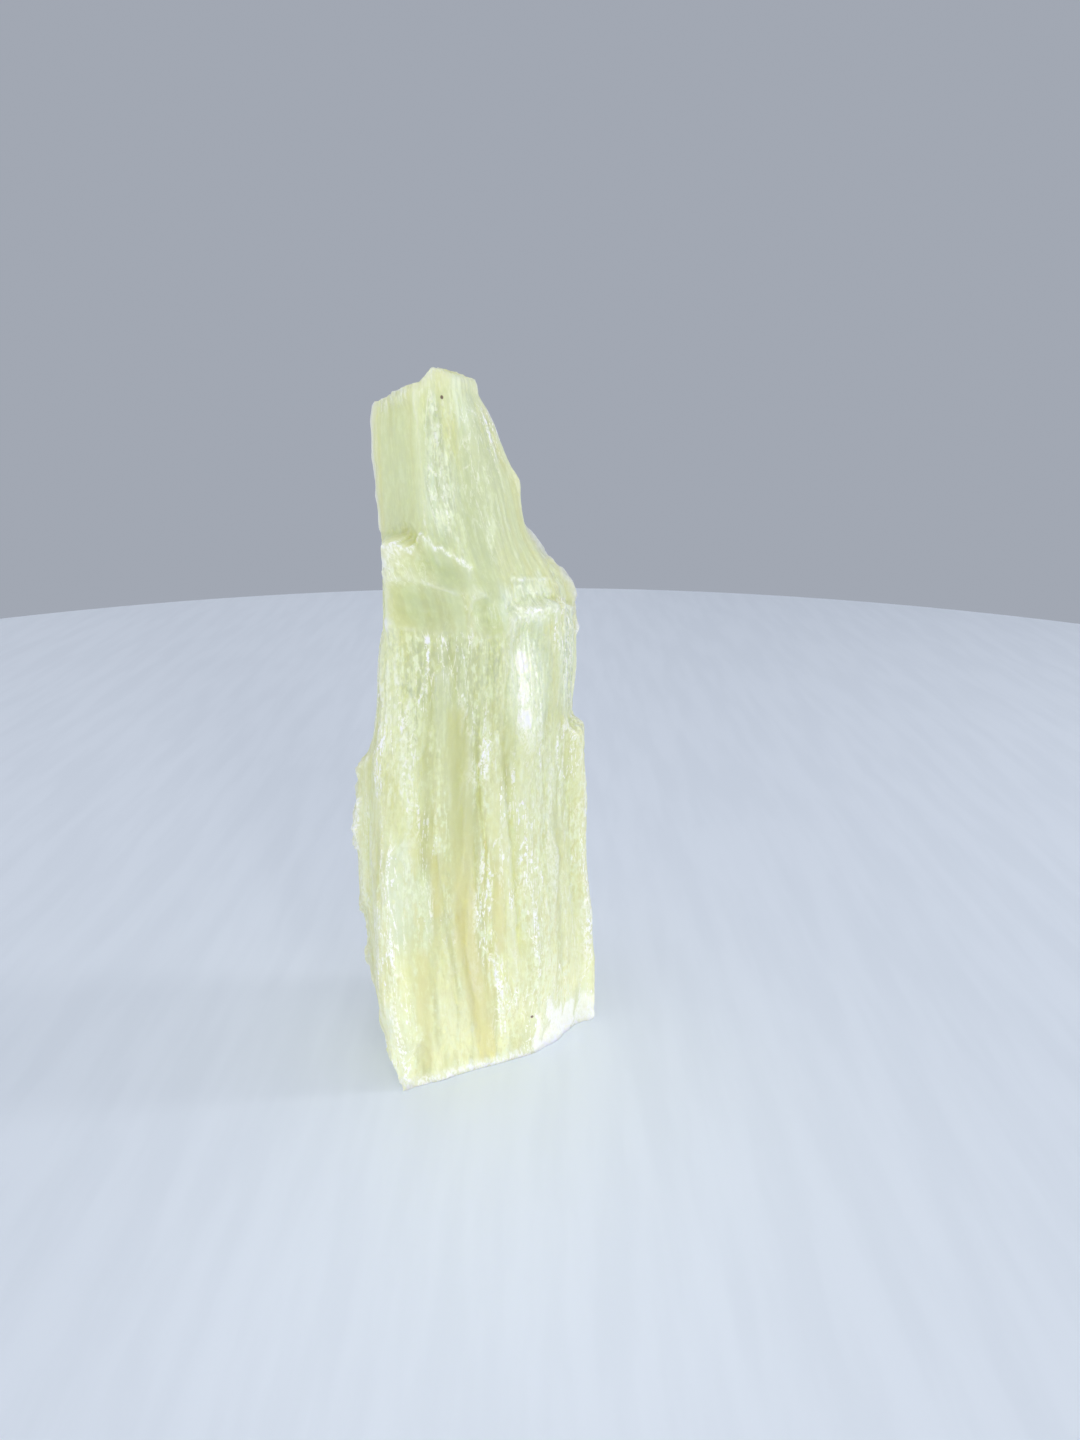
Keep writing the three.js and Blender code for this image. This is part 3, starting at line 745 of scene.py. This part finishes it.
# Smooth ramps, from one value to another, with what they give at those two where it isn't 0 and 1.
RAMPS = {
    "pale above": (0.035, 0.09),  # height
    "olive above": (0.03, 0.052),  # height
    "shaded above": (0.04, 0.075),  # height
    # painted glow at the foot, fading with height
    "painted glow at the foot": (0.002, 0.035, 0.65, 0),  # height
    "deep bands": (0.45, 0.60, 0, 0.75),
    "milk in bands": (0.3, 0.6, 1, 0.7),
    "dark lines where": (0.42, 0.58, 1, 0.3),
    "scored lines broken": (0.3, 0.5),
    "cloudy haze": (0.45, 0.7, 0, 0.3),
    "veined haze": (0.48, 0.72, 0, 0.2),
    "grainy frost": (0.32, 0.6, 0.45, 1),
    "textured where": (0.44, 0.56, 0.15, 1),
    "pale texture": (0.5, 0.60, 0, 0.6),
    "dark texture": (0.5, 0.40, 0, 0.45),
    "whitest frost": (0.65, 0.95),
    "grains of whitest frost": (0.3, 0.55, 0.7, 1),
    "glinting lines broken": (0.44, 0.56),
    "lucky facets": (0.90, 0.94),
    "sparks in veins": (0.5, 0.6),
    "proud ridges": (0.2, 0.8),
    "ridges broken": (0.42, 0.58),
    "glints where": (0.46, 0.64),
    # frost and painted glow on the broken foot edge, by height
    "frost and painted glow on the foot edge": (0.0006, 0.0026, 1, 0),  # height
    "grains of the foot edge": (0.4, 0.6, 0.25, 1),
    "gloss above the floor": (0.006, 0.014, 0.2, 1),  # height
    "roughness by gloss": (0.3, 0.9, 0.42, 0.26),
    "specular by gloss": (0.3, 0.9, 0.25, 0.5),
    "scatter by glints": (0, 1, 0.013, 0.004),
    "scatter above the floor": (0.001, 0.025, 0.06, 1),  # height
}

# How strong things are, 1 being full strength.
AMBER_SMOOTH = 0.9  # how smooth clear bands are
AMBER_PLAIN = 0.7  # how free of fine texture they are
DARK, DARK_ROUGH, DARK_CALM = 0.45, 0.6, 0.25  # dark lines: all, more on rough stone, even on smooth
SCORED = 0.85
SCALES, THREADS = 0.55, 0.45  # their shares in the fine texture
PALE_CALM, DARK_TEXTURE_CALM = 0.25, 0.3  # fine texture even on smooth stone, pale and dark
FROST_GLINTS, LINED_GLINTS, GLINTS = 0.8, 0.4, 1.3  # glints in frost, among dark lines, and all of them

# Lines along the fibres, at the edges of long cells: the cells' scale and the lines' width.
DARK_LINES, SCORED_LINES = (650, 0.05), (700, 0.17)
GLINTING_LINES = [(420, 0.035), (900, 0.04)]
LINE_LENGTH = (1, 1, 0.07)  # cells are drawn out along the fibres
BEND_LENGTH, BEND_SCALE, BEND = (1, 1, 0.3), 300, (0.0012, 0.0012, 0.004)  # what bends the lines
MIRRORED_X, MIRRORED_Y = (-1, 1, 1), (1, -1, 1)  # give each kind of line cells of its own
HALF = (0.5, 0.5, 0.5)  # the middle of a random colour

FACET_LENGTH, FACET_SCALE, FACET_TILT = (1, 1, 0.5), 2400, (1, 1, 2)
FACET_BUMP, FACETS_CALM = 0.4, 0.06  # their bump, and how much of it there is on the smooth faces
FINE_BUMP = 0.00006
REFRACTION = 1.66
LIGHT_PATH = (1.0, 0.95, 0.6)  # how far red, green and blue light go in the stone, as shares of the scatter
SPECK_CORE, SPECK_RIM, SPECK_DARK = 0.8, 1.3, 0.85  # shares of a speck's radius, and how dark it is

FLOOR_LENGTH, FLOOR_SCALE, FLOOR_DETAIL = (1, 0.12, 1), 160, 4  # its grain
FLOOR_RAMP, FLOOR_COLOURS = (0.35, 0.65), ((0.76, 0.81, 0.88, 1), (0.79, 0.84, 0.91, 1))
FLOOR_BUMP, FLOOR_BUMP_SHARE, FLOOR_ROUGHNESS = 0.0002, 0.4, 0.45


class Nodes:
    """A material's nodes, made a line at a time."""

    def __init__(self, name):
        self.material = bpy.data.materials.new(name)
        self.material.use_nodes = True
        self.tree = self.material.node_tree
        self.shader = self.tree.nodes["Principled BSDF"]

    def put(self, socket, value):
        if isinstance(value, bpy.types.NodeSocket):
            self.tree.links.new(value, socket)
        else:
            socket.default_value = value

    def shade(self, name, value):
        """Sets one of the shader's own sockets."""
        self.put(self.shader.inputs[name], value)

    def add(self, kind, output, inputs, **settings):
        node = self.tree.nodes.new("ShaderNode" + kind)
        for key, value in settings.items():
            setattr(node, key, value)
        for key, value in inputs.items():
            self.put(node.inputs[key], value)
        return node.outputs[output]

    def kept(self, name, output="Fac"):
        return self.add("Attribute", output, {}, attribute_name=name)

    def math(self, operation, a, b, clamp=False):
        return self.add("Math", 0, {0: a, 1: b}, operation=operation, use_clamp=clamp)

    def plus(self, a, b):
        return self.math("ADD", a, b)

    def less(self, value):
        """1 less a value."""
        return self.math("SUBTRACT", 1.0, value)

    def times(self, first, *others):
        for other in others:
            first = self.math("MULTIPLY", first, other)
        return first

    def most(self, first, *others):
        for other in others:
            first = self.math("MAXIMUM", first, other)
        return first

    def spread(self, value, low, high, to_low=0.0, to_high=1.0):
        inputs = {"Value": value, "From Min": low, "From Max": high, "To Min": to_low, "To Max": to_high}
        return self.add("MapRange", "Result", inputs, interpolation_type="SMOOTHSTEP")

    def ramp(self, name, value):
        return self.spread(value, *RAMPS[name])

    def vectors(self, operation, a, b, output=0):
        return self.add("VectorMath", output, {0: a, 1: b}, operation=operation)

    def stretched(self, vector, scale):
        return self.vectors("MULTIPLY", vector, scale)

    def noise(self, vector, scale, detail=2.0, rough=0.5, output=0):
        inputs = {"Vector": vector, "Scale": scale, "Detail": detail, "Roughness": rough}
        return self.add("TexNoise", output, inputs, noise_dimensions="3D")

    def cells(self, vector, scale, **settings):
        """The outputs of a pattern of cells."""
        first = self.add("TexVoronoi", 0, {"Vector": vector, "Scale": scale}, **settings)
        return first.node.outputs

    def mixed(self, share, a, b):
        node = self.tree.nodes.new("ShaderNodeMix")
        node.data_type = "RGBA"
        self.put(node.inputs[0], share)
        self.put(node.inputs[6], a)
        self.put(node.inputs[7], b)
        return node.outputs[2]

    def bump(self, height, distance, strength=1.0, normal=None):
        inputs = {"Height": height, "Distance": distance, "Strength": strength}
        if normal is not None:
            inputs["Normal"] = normal
        return self.add("Bump", 0, inputs)


class Stone(Nodes):
    """The calcite's nodes, with its kept values and its patterns at hand."""

    def __init__(self):
        super().__init__("lemon calcite")
        self.fibre = self.kept("fibre", "Vector")
        self.height = self.add("SeparateXYZ", "Z", {0: self.fibre})
        for name in KEPT:
            setattr(self, name, self.kept(name))
        for name, (length, *grain) in PATTERNS.items():
            setattr(self, name, self.noise(self.stretched(self.fibre, (1, 1, length)), *grain))
        unclear = self.less(self.times(self.amber, AMBER_SMOOTH))
        self.rough = self.math("MULTIPLY", self.less(self.calm), unclear, clamp=True)

    def lines(self, fibre, scale, width):
        """Thin broken lines along the fibres, where cells of that size meet."""
        bent = self.noise(self.stretched(fibre, BEND_LENGTH), BEND_SCALE, 1.0, output="Color")
        bent = self.stretched(self.vectors("SUBTRACT", bent, HALF), BEND)
        cells = self.stretched(self.vectors("ADD", fibre, bent), LINE_LENGTH)
        distance = self.cells(cells, scale, feature="DISTANCE_TO_EDGE")["Distance"]
        return self.spread(distance, 0, width, 1, 0)

    def facets(self):
        """Small flat facets, each tilted its own way: their height, and a random number for each."""
        vector = self.stretched(self.fibre, FACET_LENGTH)
        cells = self.cells(vector, FACET_SCALE)
        off = self.vectors("SUBTRACT", vector, cells["Position"])
        tilt = self.stretched(self.vectors("SUBTRACT", cells["Color"], HALF), FACET_TILT)
        luck = self.add("SeparateXYZ", "Y", {0: cells["Color"]})
        return self.vectors("DOT_PRODUCT", off, tilt, "Value"), luck


def body_colour(s):
    """The stone's colour by its height, with painted glow at the foot, its bands, the clear places with
    painted shade in the hollows, and the milky places with painted sheen.
    """
    colour = s.mixed(s.ramp("pale above", s.height), LEMON, PALE)
    # Painted glow: the lower part is painted paler towards the floor.
    colour = s.mixed(s.ramp("painted glow at the foot", s.height), colour, FOOT_GLOW)
    colour = s.mixed(s.ramp("deep bands", s.wide), colour, DEEP)
    # The clear tint: clear stone, and painted shade in the hollows.
    colour = s.mixed(s.clear, colour, CLEAR_TINT)
    colour = s.mixed(s.amber, colour, s.mixed(s.ramp("olive above", s.height), AMBER_TINT, OLIVE_TINT))
    # The milky tint: milky stone, and painted sheen on the near band and the faces towards the window.
    return s.mixed(s.times(s.milk, s.ramp("milk in bands", s.wide)), colour, MILKY_AND_SHEEN)


def with_dark_lines(s, colour, shade):
    dark = s.times(s.lines(s.stretched(s.fibre, MIRRORED_X), *DARK_LINES), DARK)
    strength = s.plus(s.times(s.rough, DARK_ROUGH), DARK_CALM)
    dark = s.times(dark, strength, s.ramp("dark lines where", s.busy))
    scored = s.lines(s.stretched(s.fibre, MIRRORED_Y), *SCORED_LINES)
    scored = s.times(scored, s.ramp("scored lines broken", s.grains), s.lined, SCORED)
    return s.mixed(s.most(dark, scored), colour, shade)


def with_haze(s, colour):
    """Milky haze on the rough stone, and frost, which in some patches is painted highlight and glow."""
    haze = s.times(s.ramp("cloudy haze", s.cloud), s.rough)
    haze = s.plus(haze, s.times(s.ramp("veined haze", s.veins), s.rough))
    frosty = s.times(s.frost, s.ramp("grainy frost", s.grains))
    return s.mixed(s.math("MAXIMUM", haze, frosty, clamp=True), colour, FROSTED)


def with_texture(s, colour, shade):
    """The fine texture, pale and dark, and the whitest frost over it, which is also painted highlight and
    glow.
    """
    texture = s.plus(s.times(s.scales, SCALES), s.times(s.threads, THREADS))
    where = s.ramp("textured where", s.rich)
    plain = s.less(s.times(s.amber, AMBER_PLAIN))
    pale = s.times(s.plus(s.times(s.rough, where), PALE_CALM), plain)
    dark = s.times(s.plus(s.times(s.most(s.rough, s.lined), where), DARK_TEXTURE_CALM), plain)
    colour = s.mixed(s.times(s.ramp("pale texture", texture), pale), colour, FROSTED)
    colour = s.mixed(s.times(s.ramp("dark texture", texture), dark), colour, shade)
    # The whitest frost holds the painted highlight of the glossy strip and the painted glow of the foot.
    whitest = s.times(s.ramp("whitest frost", s.frost), s.ramp("grains of whitest frost", s.grains))
    return s.mixed(whitest, colour, WHITEST_FROST_AND_HIGHLIGHT)


def painted_glints_of(s, luck):
    """Painted glints: bright broken lines, sparks and ridges painted white, and the broken edge of the foot,
    which is frost and painted glow.
    """
    lines = s.times(s.most(*(s.lines(s.fibre, *size) for size in GLINTING_LINES)),
                    s.ramp("glinting lines broken", s.grains))
    sparks = s.times(s.ramp("lucky facets", luck), s.ramp("sparks in veins", s.veins))
    ridges = s.times(s.ramp("proud ridges", s.ridge), s.ramp("ridges broken", s.grains))
    where = s.times(s.rough, s.ramp("glints where", s.busy))
    where = s.most(where, s.most(s.times(s.frost, FROST_GLINTS), s.times(s.lined, LINED_GLINTS)))
    glints = s.math("MULTIPLY", s.times(s.most(lines, sparks, ridges), where), GLINTS, clamp=True)
    # The white broken edge of the foot: frost, and painted glow where it meets the floor.
    foot = s.times(s.ramp("frost and painted glow on the foot edge", s.height), s.ramp("grains of the foot edge", s.grains))
    return s.most(glints, foot)


def with_specks(s, colour):
    place = s.add("TexCoord", "Object", {})
    for x, y, z, radius in SPECKS:
        near = s.vectors("DISTANCE", place, (x * MM, y * MM, z * MM), "Value")
        inside = s.spread(near, radius * SPECK_CORE * MM, radius * SPECK_RIM * MM, SPECK_DARK, 0)
        colour = s.mixed(inside, colour, SPECK)
    return colour


def calcite_material():
    s = Stone()
    shade = s.mixed(s.ramp("shaded above", s.height), GOLDEN, SHADED)
    facets, luck = s.facets()
    glints = painted_glints_of(s, luck)
    colour = with_haze(s, with_dark_lines(s, body_colour(s), shade))
    # The glints are highlights painted white into the colour.
    colour = s.mixed(glints, with_texture(s, colour, shade), PAINTED_GLINT)
    s.shade("Base Color", with_specks(s, colour))
    normal = s.bump(s.times(s.fine, s.rough), FINE_BUMP)
    s.shade("Normal", s.bump(s.times(facets, s.plus(s.rough, FACETS_CALM)), FACET_BUMP, 1.0, normal))
    gloss = s.times(s.most(s.milk, s.frost, s.lined), s.ramp("gloss above the floor", s.height))
    s.shade("Roughness", s.ramp("roughness by gloss", gloss))
    s.shade("Specular IOR Level", s.ramp("specular by gloss", gloss))
    s.shade("IOR", REFRACTION)
    s.shade("Subsurface Weight", 1.0)
    s.shade("Subsurface Radius", LIGHT_PATH)
    scatter = s.times(s.ramp("scatter by glints", glints), s.ramp("scatter above the floor", s.height))
    s.shade("Subsurface Scale", scatter)
    return s.material


def floor_material():
    n = Nodes("pale floor")
    place = n.add("TexCoord", "Object", {})
    grain = n.noise(n.stretched(place, FLOOR_LENGTH), FLOOR_SCALE, FLOOR_DETAIL)
    n.shade("Base Color", n.mixed(n.spread(grain, *FLOOR_RAMP), *FLOOR_COLOURS))
    n.shade("Normal", n.bump(grain, FLOOR_BUMP, FLOOR_BUMP_SHARE))
    n.shade("Roughness", FLOOR_ROUGHNESS)
    return n.material


# ---- The stage ----

FLOOR_SIDES, FLOOR_RADIUS = 128, 0.45
AIR = (0.36, 0.39, 0.45, 1)  # the colour all round
CAMERA_AT = (0.01097, -0.17643, 0.1163)
CAMERA_PITCH = 17.5  # degrees below level
CAMERA_LENS, CAMERA_NEAR = 27, 0.01

LIT_POINT = (0, 0, 0.06)
FOOT_POINT = (0.004, -0.016, 0.0)
# Each soft light: place, the point it is turned to, width, height, power and the width of its beam in
# degrees. Metres and watts.
LIGHTS = [
    ("window", (0.62, 0.04, 0.16), LIT_POINT, 0.10, 0.45, 1.2, 180),
    ("second window", (0.28, -0.6, 0.16), LIT_POINT, 0.08, 0.4, 1.0, 180),
    ("room", (-0.55, -0.6, 0.10), LIT_POINT, 0.8, 0.3, 1.43, 180),
    ("left wall", (-0.75, -0.05, 0.12), LIT_POINT, 0.5, 0.3, 0.7, 180),
    ("front", (0.05, -0.75, 0.2), LIT_POINT, 0.6, 0.3, 0.2, 180),
    ("low front", (0, -0.5, 0.03), LIT_POINT, 0.6, 0.05, 0.15, 180),
    ("foot", (0.02, -0.45, 0.22), FOOT_POINT, 0.08, 0.04, 0.004, 13),
    ("ceiling", (0, 0, 0.9), LIT_POINT, 0.9, 0.9, 2.7, 180),
    ("back wall", (-0.3, 0.8, 0.2), LIT_POINT, 0.9, 0.4, 0.25, 180),
]


def build_floor():
    bpy.ops.mesh.primitive_circle_add(vertices=FLOOR_SIDES, radius=FLOOR_RADIUS, fill_type="NGON")
    floor = bpy.context.object
    floor.name = "floor"
    floor.data.materials.append(floor_material())


def build_light():
    world = bpy.data.worlds.new("studio")
    bpy.context.scene.world = world
    world.use_nodes = True
    world.node_tree.nodes["Background"].inputs["Color"].default_value = AIR
    for name, place, aim, width, height, energy, beam in LIGHTS:
        light = bpy.data.lights.new(name, "AREA")
        light.shape = "RECTANGLE"
        light.size, light.size_y = width, height
        light.energy = energy
        light.spread = math.radians(beam)
        lamp = bpy.data.objects.new(name, light)
        bpy.context.scene.collection.objects.link(lamp)
        lamp.location = place
        lamp.rotation_euler = (Vector(aim) - lamp.location).to_track_quat("-Z", "Y").to_euler()
        lamp.visible_camera = False


def build_camera():
    camera = bpy.data.objects.new("camera", bpy.data.cameras.new("camera"))
    bpy.context.scene.collection.objects.link(camera)
    camera.data.lens = CAMERA_LENS
    camera.data.clip_start = CAMERA_NEAR
    camera.location = CAMERA_AT
    camera.rotation_euler = (math.radians(90 - CAMERA_PITCH), 0, 0)
    bpy.context.scene.camera = camera
    bpy.context.scene.view_settings.view_transform = "Standard"


chunk = build_chunk()
chunk.data.materials.append(calcite_material())
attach(chunk, "root")
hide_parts(NODE)
build_floor()
build_light()
build_camera()
